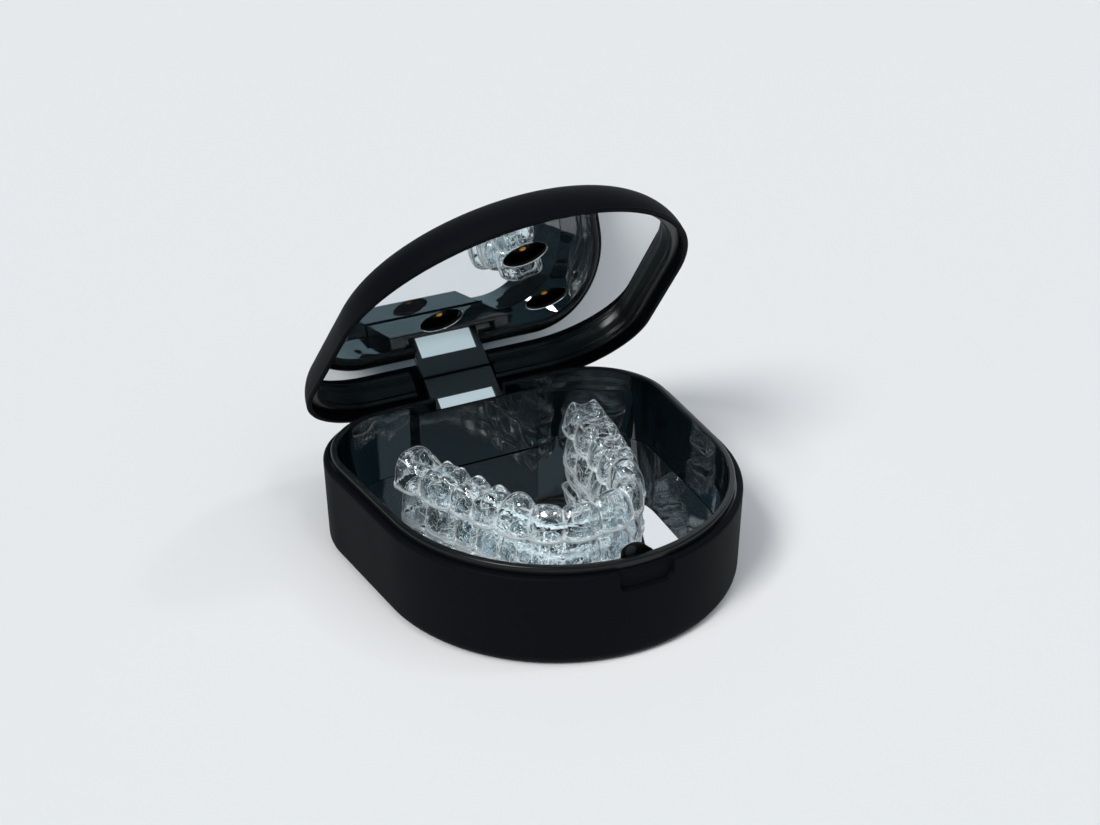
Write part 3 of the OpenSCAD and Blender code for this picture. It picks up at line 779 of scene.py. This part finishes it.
class CASE_OT_lid_frame(bpy.types.Operator):
    """Stepped black frame that holds the lid mirror, notched at the arm"""
    bl_idname = "case.lid_frame"
    bl_label = "Lid frame"

    def execute(self, context):
        s = sizes()
        rim = lid_level()
        fit, edge, step_up, step_edge, arm_in = 0.1 * MM, 0.3 * MM, 1.5 * MM, 0.5 * MM, 5.7 * MM
        glass_in, wall_in, bead_in, step_in, foot_in = (inset * MM for inset in (4.1, 4.0, 3.45, 3.3, 3.0))
        ring = s.lid_height - s.lid_wall - fit
        foot, top = rim + s.recess_depth, rim + s.mirror_depth
        start = 180 - math.degrees(math.asin(s.recess_depth / ring))
        end = 180 - math.degrees(math.asin(s.mirror_depth / ring))
        step = foot + step_up
        profile = (
            arc((s.lid_height, rim), ring, start, end, 8)
            + [(glass_in, top), (wall_in, top - edge)]
            + arc((bead_in, step), edge, 45, -45, 4)
            + [(step_in, step - step_edge)]
            + arc((foot_in, foot + edge), edge, 0, -90, 4))
        bm = sweep(profile, True)
        piece = make(bm, "lid_frame", satin_abs("satin_black_abs", colours().satin))
        carve(piece, [arm_room(arm_in, top + MM)])
        piece.data.transform(lid_turn())
        seat(piece, "lid", "gloss_liner", "lid_liner")
        return {"FINISHED"}


class CASE_OT_mirrors(bpy.types.Operator):
    """Silvered plates of the floor and the lid, with dark cut edges"""
    bl_idname = "case.mirrors"
    bl_label = "Mirrors"

    def plate(self, node, inset, low, high, cutters, face):
        """A plate with the case's outline: silvered on its face, dark on its cut edges and back."""
        piece = make(sweep([(inset, low), (inset, high)], False), node.replace("mirror", "glass"), None)
        carve(piece, cutters)
        # Sawn and painted acrylic edge: dull black
        painted = speckled("painted_acrylic_edge", "#0B0D0E", "#15181A", 0.5, 0.5)
        level = 0.9
        for material in (painted, silvered_mirror()):
            piece.data.materials.append(material)
        for polygon in piece.data.polygons:
            polygon.material_index = 1 if polygon.normal.z * face > level else 0
        return piece

    def hole(self, light):
        """Cutter of the hole in front of a light, in the closed lid."""
        bm = bmesh.new()
        radius, reach = sizes().hole_width / 2, 10 * MM
        bmesh.ops.create_cone(
            bm, cap_ends=True, segments=128, radius1=radius, radius2=radius, depth=reach)
        bmesh.ops.translate(bm, vec=light_centre(light), verts=bm.verts[:])
        return bm

    def execute(self, context):
        s = sizes()
        gap, floor_gap = 0.35 * MM, 0.4 * MM
        corner = block(s.box_width + 2 * gap, 0, s.box_in + gap, 0, base_high.z)
        floor = self.plate(
            "floor_mirror", s.liner_in + floor_gap, mirror_low.z, mirror_high.z, [corner], face=1)
        seat(floor, "base", "mirror", "floor_mirror")

        glass_in, arm_in, reach, thick = 3.75 * MM, 5.6 * MM, 5 * MM, MM
        low = lid_level() + s.mirror_depth
        cutters = [arm_room(arm_in, low + reach)] + [self.hole(light) for light in lights]
        glass = self.plate("lid_mirror", glass_in, low, low + thick, cutters, face=-1)
        glass.data.transform(lid_turn())
        soften(glass, 0.22)
        glass.modifiers["edges"].material = 1
        seat(glass, "lid", "mirror", "lid_mirror")
        return {"FINISHED"}


class CASE_OT_hinge(bpy.types.Operator):
    """Satin arm with its pale strip, and the pin and bushes that it turns on"""
    bl_idname = "case.hinge"
    bl_label = "Hinge"

    def execute(self, context):
        s = sizes()
        out = lid_turn().to_3x3() @ Vector((0, 0, -1))
        heights = (lid_level() + s.mirror_depth, lid_level() + s.window_rise)
        glass, window = (lid_turn() @ Vector((0, 0, height)) for height in heights)
        # Painted shade: a dark line on the arm where it passes the lid mirror
        paint("hinge_arm", satin_abs("satin_arm_abs", colours().arm, (glass, out)))
        soften(frame["nodes"]["hinge_arm"], 0.2, weld=True)
        # Painted light and shade on the strip: an even glow, and a dark line under the window's edge
        paint("lid_cable", painted_glow_strip((window, out)))
        # Ground steel: fine grey grain with a soft shine
        paint("hinge_pin", speckled("ground_steel", "#8F9296", "#B4B6B9", 0.3, 0.28, metallic=1))
        # Natural nylon: warm off-white, waxy
        for node in ("hinge_bush_left", "hinge_bush_right"):
            paint(node, speckled("natural_nylon", "#CFCCBF", "#DCDACF", 0.8, 0.5))
        return {"FINISHED"}


class CASE_OT_lights(bpy.types.Operator):
    """Light packages behind the lid mirror with their amber chips, and their board"""
    bl_idname = "case.lights"
    bl_label = "Lights"

    def execute(self, context):
        chip_radius, chip_flat, chip_in = 0.75 * MM, (1, 1, 0.5), 1.6 * MM
        height = lid_level() + sizes().mirror_depth + chip_in
        for light in lights:
            # Dark ceramic package: dull, next to black
            paint(light, speckled("dark_ceramic", "#050505", "#0B0A09", 0.4, 0.6, specular=0.1))
            centre = light_centre(light)
            bm = bmesh.new()
            bmesh.ops.create_uvsphere(bm, u_segments=24, v_segments=12, radius=chip_radius)
            bmesh.ops.scale(bm, vec=chip_flat, verts=bm.verts[:])
            bmesh.ops.translate(bm, vec=(centre.x, centre.y, height), verts=bm.verts[:])
            bm.transform(lid_turn())
            # Amber silicone over a gold-plated chip: a warm glint in a dark hole
            amber = speckled("amber_silicone", "#D9811C", "#F2A93B", 0.4, 0.2)
            seat(make(bm, light.replace("led", "chip"), amber), "lid", "led_gold")
        # Black solder mask: dark and slightly glossy
        paint("led_board", speckled("black_solder_mask", "#020303", "#050606", 0.5, 0.6, specular=0.05))
        return {"FINISHED"}


class CASE_OT_inner_parts(bpy.types.Operator):
    """Cell, control board and charging socket"""
    bl_idname = "case.inner_parts"
    bl_label = "Inner parts"

    def execute(self, context):
        # Aluminium laminate pouch: pale metal with a faint crinkle
        paint("battery", speckled("aluminium_pouch", "#A9ADB0", "#C6C9CB", 2.5, 0.35, metallic=1))
        # Green solder mask: deep green with a soft shine
        paint("control_board", speckled("green_solder_mask", "#0B3A22", "#12492C", 0.5, 0.35))
        # Nickel-plated sheet steel: bright, a little warm
        paint("charge_socket", speckled("nickel_plated_steel", "#B4B4B2", "#D0D0CE", 0.4, 0.22, metallic=1))
        return {"FINISHED"}


class CASE_OT_trays(bpy.types.Operator):
    """Two clear trays: a formed sheet over the teeth of a jaw"""
    bl_idname = "case.trays"
    bl_label = "Trays"

    # Teeth of one half, front to back: widths and half depths in mm, heights as shares of the tray's
    teeth = tuple(Tooth(*values) for values in (
        (8.4, 3.5, 1.0, 1.15, 1, 1),
        (6.8, 3.4, 0.95, 1.1, 1, 1),
        (7.6, 4.1, 1.04, 0.95, 1, 1),
        (6.9, 4.7, 0.97, 0.7, 2, 1),
        (6.7, 4.8, 0.94, 0.66, 2, 1),
        (10.0, 5.3, 0.92, 0.58, 2, 2),
        (9.4, 5.2, 0.9, 0.58, 2, 2),
    ))
    eye_tooth = 2
    stations, across, arch_steps = 420, 88, 240
    sharp = math.radians(75)
    # Shares of a tooth's depth and height that are left where two teeth meet, and at the ends of a tray
    contact_deep, contact_high, end_deep, end_high = 0.74, 0.76, 0.12, 0.1
    # Places along the arch: where its ends begin to round, how far that runs, and where the left end's lobe
    # starts and is full
    end_start, end_run, lobe_start, lobe_full = 0.955, 0.045, 0.87, 0.93

    def tooth_at(self, u):
        """Tooth number at a place along the arch, and the place across its width from -1 to 1."""
        left, run = abs(u) * sum(tooth.width for tooth in self.teeth), 0
        for i, tooth in enumerate(self.teeth):
            if left <= run + tooth.width or i == len(self.teeth) - 1:
                return i, 2 * (left - run) / tooth.width - 1
            run += tooth.width

    def blended(self, i, q, field):
        """A tooth's value, blended into its neighbour's towards their contact."""
        other = min(len(self.teeth) - 1, max(0, i + (1 if q > 0 else -1)))
        share = 0.5 * smoothstep(0.4, 1, abs(q))
        return getattr(self.teeth[i], field) * (1 - share) + getattr(self.teeth[other], field) * share

    def swell(self, q):
        """Roundness of a tooth: 1 at its middle, 0 where it meets the next."""
        return (1 - min(1, abs(q)) ** 2) ** 0.5

    def climb(self, w):
        """Height across the arch: 0 at the trim, 1 on top."""
        steepness = 0.78
        return math.sin(QUARTER_TURN * (1 - abs(w))) ** steepness

    def gum(self, swell):
        """Height of the gum line, which is lowest at the middle of a tooth."""
        highest, dip = 0.26, 0.12
        return highest - dip * swell

    def arch_path(self, t):
        """Points of one half of the arch: straight across at the front, then turning into the arms."""
        path = [Vector((0, 0, 0))]
        for i in range(self.arch_steps):
            run = (i + 0.5) / self.arch_steps
            turn = t.arm_angle * (1 - bell(run, t.front_share))
            step = Vector((math.cos(turn), math.sin(turn), 0)) * t.arch_length / self.arch_steps
            path.append(path[-1] + step)
        return path

    def arch(self, u):
        """Point of the arch, from -1 at its left end to 1 at its right end."""
        k = min(1, abs(u)) * self.arch_steps
        i = min(int(k), self.arch_steps - 1)
        spot = self.path[i].lerp(self.path[i + 1], k - i)
        return Vector((math.copysign(spot.x, u), spot.y, 0))

    def cusps(self, i, q, out):
        """Height of the cusps on a tooth's top."""
        tooth = self.teeth[i]
        if tooth.cusps_across == 2:
            high, ridge, ridge_width, pit = 1.5 * MM, 0.6, 0.28, 0.6
            along = 0.5 - 0.5 * math.cos(math.pi * tooth.cusps_along * (q + 1))
            return high * (bell(abs(out) - ridge, ridge_width) * along - pit)
        point = 0.7 * MM
        return point * (1 - abs(q)) if i == self.eye_tooth else 0

    def point(self, u, w, height, seed):
        """Point of the sheet's outside: u along the arch, w across it from tongue side to cheek side."""
        scallop_high, flange_out, flange_soft, tilt = 0.5 * MM, 0.35 * MM, 0.05, 0.5 * MM
        lobe_rise, top_start, nearby = 0.18, 0.75, 0.01
        ripple, ripple_width = 0.13 * MM, 2.2 * MM
        i, q = self.tooth_at(u)
        swell, up = self.swell(q), self.climb(w)
        lobe = smoothstep(self.lobe_start, self.lobe_full, -u)
        end = math.sqrt(max(0, 1 - (max(0, abs(u) - self.end_start) / self.end_run) ** 2))
        half = self.blended(i, q, "half_depth") * MM * (self.contact_deep + (1 - self.contact_deep) * swell)
        half *= self.end_deep + (1 - self.end_deep) * end
        rise = height * self.blended(i, q, "height") * (self.contact_high + (1 - self.contact_high) * swell)
        rise *= (1 + lobe_rise * lobe) * (self.end_high + (1 - self.end_high) * end)
        out = math.cos(QUARTER_TURN * (1 - abs(w))) ** self.blended(i, q, "boxiness") * math.copysign(1, w)
        scallop = scallop_high * (1 - swell)
        gum = self.gum(swell)
        flange = flange_out * smoothstep(gum + flange_soft, gum - flange_soft, up)
        top = smoothstep(top_start, 1, up) * end * (1 - lobe)
        z = scallop + (rise - scallop) * up + self.cusps(i, q, out) * top
        x = out * (half + flange) - (tilt * up * up if i <= self.eye_tooth else 0)
        ahead = self.arch(u + nearby) - self.arch(u - nearby)
        normal = Vector((ahead.y, -ahead.x, 0)).normalized()
        spot = self.arch(u) + normal * x + Vector((0, 0, z))
        return spot + normal * ripple * noise.noise(spot / ripple_width + Vector((seed, 0, 0)))

    def painted_light(self, u, w, seed, share):
        """Share of painted light in the sheet: pale lines between teeth, round their tops, at gum and trim.
        """
        line, trim, most, even, uneven = 0.7, 0.9, 0.9, 0.55, 1.3
        contact_mm, table_in, table_round, table_width = 0.7, 0.22, 0.2, 0.028
        gum_width, trim_start, trim_full = 0.03, 0.96, 0.985
        patches_along, patches_over = 34, 4
        i, q = self.tooth_at(u)
        swell = self.swell(q)
        contact = bell((1 - abs(q)) * self.teeth[i].width, contact_mm)
        table = bell(abs(w) - table_in - table_round * swell, table_width)
        gum = bell(self.climb(w) - self.gum(swell), gum_width)
        patch = noise.noise(Vector((u * patches_along, w * patches_over, seed)))
        broken = max(0, even + uneven * patch)
        drawn = line * max(contact, table, gum) * broken + trim * smoothstep(trim_start, trim_full, abs(w))
        return share * min(most, drawn)

    def tray(self, name, body, low, height, scale, seed, share):
        """A tray on its body, formed from a grid and given the sheet's thickness."""
        t = tray_sizes()
        bm = bmesh.new()
        light = bm.verts.layers.float.new("painted_light")
        bmesh.ops.create_grid(bm, x_segments=self.stations, y_segments=self.across, size=1)
        for v in bm.verts:
            # painted light: how much pale haze each point of the sheet gets
            v[light] = self.painted_light(v.co.x, v.co.y, seed, share)
            v.co = self.point(v.co.x, v.co.y, height, seed)
        bmesh.ops.scale(bm, vec=(scale, scale, 1), verts=bm.verts[:])
        turned = Matrix.Rotation(t.turn, 4, "Z")
        place = Matrix.Translation((t.side, Outline(sizes()).back - t.front, low)) @ turned
        bm.transform(place)
        bmesh.ops.recalc_face_normals(bm, faces=bm.faces[:])
        piece = make(bm, name, clear_sheet("clear_formed_petg", outside=True), self.sharp)
        for material in (clear_sheet("clear_petg_inside", outside=False), cut_edge()):
            piece.data.materials.append(material)
        wall = piece.modifiers.new("sheet", "SOLIDIFY")
        wall.thickness = t.sheet
        wall.offset = -1
        wall.material_offset = 1
        wall.material_offset_rim = 2
        piece.visible_shadow = False  # the clear sheet lets the lamps through to the walls behind it
        seat(piece, body, "clear_sheet", body)

    def execute(self, context):
        t = tray_sizes()
        type(self).path = self.arch_path(t)
        lower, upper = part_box("lower_tray")[0].z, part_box("upper_tray")[0].z
        self.tray("lower_aligner", "lower_tray", lower, t.lower_height, t.lower_scale, seed=3, share=0.5)
        self.tray("upper_aligner", "upper_tray", upper, t.upper_height, 1, seed=11, share=0.85)
        return {"FINISHED"}


class CASE_OT_stage(bpy.types.Operator):
    """Pale floor, lamps from above, the room that mirrors and glass show, and the camera"""
    bl_idname = "case.stage"
    bl_label = "Stage"

    # Place and aim of the camera, its lens and sensor in mm, and half the floor's width in metres
    eye = Vector((-146.67, -283.89, 206.27)) * MM
    target = Vector((3.75, 7.38, 32.48)) * MM
    lens, sensor = 53.975, 36
    floor_half = 3.0
    room = "#2C4650"
    # Boards in the room, a backdrop behind the case and a card in front of it: the way to the middle, the
    # cosines of the angles at which a board starts and is full, strength and colour
    boards = (
        ((0.46, 0.71, 0.53), 0.7, 0.8, 0.75, "#FCFCFF"),
        ((0.354, -0.834, 0.423), 0.965, 0.985, 0.42, "#C4E0EA"),
    )
    # Lamps: name, way the light goes, share of the light on the floor, spread in degrees, colour, and
    # whether gloss shows the lamp
    lamps = (
        ("key", (0.88, 0.45, -1), 0.455, 18, "#FFFDFA", True),
        ("fill", (0.05, 0.5, -1), 0.375, 70, "#FFFDFE", False),
        ("spark_right", (-0.65, 0.25, -0.9), 0.045, 5, "#FFFFFF", True),
        ("spark_left", (0.6, 0.1, -0.95), 0.045, 5, "#FFFFFF", True),
        ("spark_front", (-0.1, 0.55, -0.86), 0.045, 5, "#FFFFFF", True),
    )

    def floor(self):
        # Painted studio floor: pale, matt, with a barely visible roller texture
        material, tree, shader, place = new_material("painted_studio_floor")
        if tree:
            roller = add(tree, "TexNoise", {"Scale": per_metre(3), "Detail": 3, "Vector": place}, "Fac")
            relief = {"Height": roller, "Strength": 0.05, "Distance": 0.05 * MM}
            feed(shader, {
                "Base Color": rgba(colours().floor),
                "Roughness": 0.9,
                "Specular IOR Level": 0.1,
                "Normal": add(tree, "Bump", relief, "Normal")})
        bm = bmesh.new()
        bmesh.ops.create_grid(bm, x_segments=2, y_segments=2, size=self.floor_half)
        make(bm, "floor", material)

    def board(self, tree, way, middle, start, full, strength, code):
        """A pale board far away round a direction, which only mirrors, glass and the camera see."""
        near = add(tree, "VectorMath", {"operation": "DOT_PRODUCT", 0: way, 1: middle}, "Value")
        edge = {"interpolation_type": "SMOOTHSTEP", "From Min": start, "From Max": full, "To Max": strength}
        shape = add(tree, "MapRange", {**edge, "Value": near}, "Result")
        rays = add(tree, "LightPath", {}, 0).node.outputs
        both = {"operation": "ADD", "use_clamp": True}
        gloss, glass, view = (rays[f"Is {ray} Ray"] for ray in ("Glossy", "Transmission", "Camera"))
        seen = add(tree, "Math", {**both, 0: gloss, 1: glass}, "Value")
        shown = add(tree, "Math", {**both, 0: seen, 1: view}, "Value")
        light = add(tree, "Math", {"operation": "MULTIPLY", 0: shape, 1: shown}, "Value")
        return add(tree, "Background", {"Color": rgba(linear(code)), "Strength": light}, 0)

    def world(self):
        """A dim room with pale boards in it."""
        world = bpy.context.scene.world or bpy.data.worlds.new("studio")
        bpy.context.scene.world = world
        world.use_nodes = True
        tree = world.node_tree
        way = add(tree, "TexCoord", {}, "Generated")
        room = tree.nodes["Background"]
        feed(room, {"Color": rgba(linear(self.room))})
        backdrop, card = (self.board(tree, way, *board) for board in self.boards)
        boards = add(tree, "AddShader", {0: backdrop, 1: card}, 0)
        whole = add(tree, "AddShader", {0: room.outputs[0], 1: boards}, 0)
        feed(tree.nodes["World Output"], {"Surface": whole})

    def lamp(self, name, way, floor_share, spread, code, shine):
        """A lamp far away that gives a share of the light on the floor."""
        sun = bpy.data.lights.new(name, "SUN")
        way = Vector(way).normalized()
        sun.energy = floor_share * math.pi / -way.z
        sun.angle = math.radians(spread)
        sun.color = linear(code)
        lamp = bpy.data.objects.new(name, sun)
        lamp.rotation_euler = way.to_track_quat("-Z", "Y").to_euler()
        lamp.visible_glossy = shine
        bpy.context.scene.collection.objects.link(lamp)

    def camera(self):
        data = bpy.data.cameras.new("camera")
        data.lens = self.lens
        data.sensor_width = self.sensor
        data.sensor_fit = "HORIZONTAL"
        data.clip_start = 0.01
        camera = bpy.data.objects.new("camera", data)
        camera.location = self.eye
        camera.rotation_euler = (self.target - self.eye).to_track_quat("-Z", "Y").to_euler()
        bpy.context.scene.collection.objects.link(camera)
        bpy.context.scene.camera = camera

    def execute(self, context):
        self.floor()
        self.world()
        for lamp in self.lamps:
            self.lamp(*lamp)
        self.camera()
        context.scene.view_settings.view_transform = "Standard"
        return {"FINISHED"}


class CASE_PT_panel(bpy.types.Panel):
    """Lists the steps that make the case"""
    bl_idname = "CASE_PT_panel"
    bl_label = "Aligner case"
    bl_space_type = "VIEW_3D"
    bl_region_type = "UI"
    bl_category = "Aligner case"

    def draw(self, context):
        for step in steps:
            self.layout.operator(step.bl_idname)
        for group in (context.scene.case_sizes, context.scene.tray_sizes, context.scene.case_colours):
            column = self.layout.column(align=True)
            for name in group.__annotations__:
                column.prop(group, name)


groups = {"case_sizes": CaseSizes, "tray_sizes": TraySizes, "case_colours": CaseColours}
steps = (
    CASE_OT_base_shell, CASE_OT_base_liner, CASE_OT_latch, CASE_OT_lid_shell, CASE_OT_lid_frame,
    CASE_OT_mirrors, CASE_OT_hinge, CASE_OT_lights, CASE_OT_inner_parts, CASE_OT_trays, CASE_OT_stage)


def register():
    for kind in (*groups.values(), *steps, CASE_PT_panel):
        bpy.utils.register_class(kind)
    for name, kind in groups.items():
        setattr(bpy.types.Scene, name, bpy.props.PointerProperty(type=kind))


def unregister():
    for name in groups:
        delattr(bpy.types.Scene, name)
    for kind in reversed((*groups.values(), *steps, CASE_PT_panel)):
        bpy.utils.unregister_class(kind)


def main():
    register()
    for step in steps:
        family, name = step.bl_idname.split(".")
        getattr(getattr(bpy.ops, family), name)()


if __name__ == "__main__":
    main()
